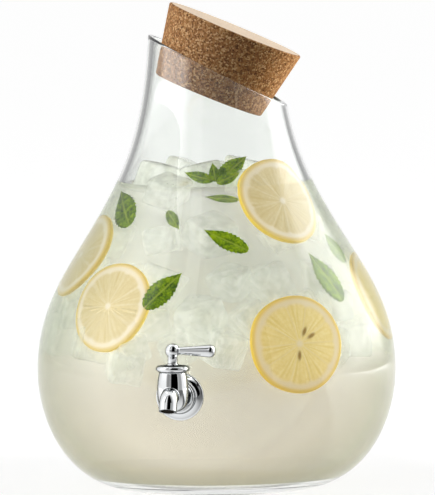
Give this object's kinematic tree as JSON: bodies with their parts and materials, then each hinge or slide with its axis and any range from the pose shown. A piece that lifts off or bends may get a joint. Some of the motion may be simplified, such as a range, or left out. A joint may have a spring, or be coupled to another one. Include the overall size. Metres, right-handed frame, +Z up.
{
  "type": "drink dispenser",
  "caption": "Teardrop clear-glass drink dispenser with a slant-cut mouth, a tapered cork stopper that lifts out and a chrome quarter-turn lever tap near the base.",
  "frame": {"origin": "centre of the standing ring, on the plane the vessel stands on, on the vessel's axis", "axes": "+Z up along the vessel's axis, -Y out along the tap, +X the side the shut lever points to"},
  "size_m": [0.2801, 0.3352, 0.3783],
  "materials": {
    "clear_glass": "clear blown soda-lime glass, polished",
    "cork": "pressed agglomerate cork, unsealed",
    "chrome": "polished chrome plate",
    "silicone": "matte translucent silicone",
    "nylon": "moulded nylon",
    "steel": "plain steel"
  },
  "bodies": {
    "vessel": {"glass_vessel": "clear_glass", "outer_gasket": "silicone", "inner_gasket": "silicone", "thrust_washer": "nylon", "lock_nut": "nylon", "escutcheon": "chrome", "tap_casting": "chrome", "gland_bush": "nylon", "stem_ring": "silicone", "cap_seal": "silicone", "bonnet_cap": "chrome"},
    "stopper": {"cork_stopper": "cork"},
    "lever": {"valve_plug": "nylon", "plug_rings": "silicone", "handle_hub": "chrome", "lever_arm": "chrome", "grub_screw": "steel"}
  },
  "joints": [
    {"name": "stopper_lift", "type": "slide", "parent": "vessel", "child": "stopper", "axis": [0.3845, 0.0782, 0.9198], "range_m": [0, 0.06]},
    {"name": "lever_turn", "type": "hinge", "parent": "vessel", "child": "lever", "pos_m": [0, -0.16798, 0.1205], "axis": [0, 0, -1], "range_deg": [0, 90]}
  ]
}
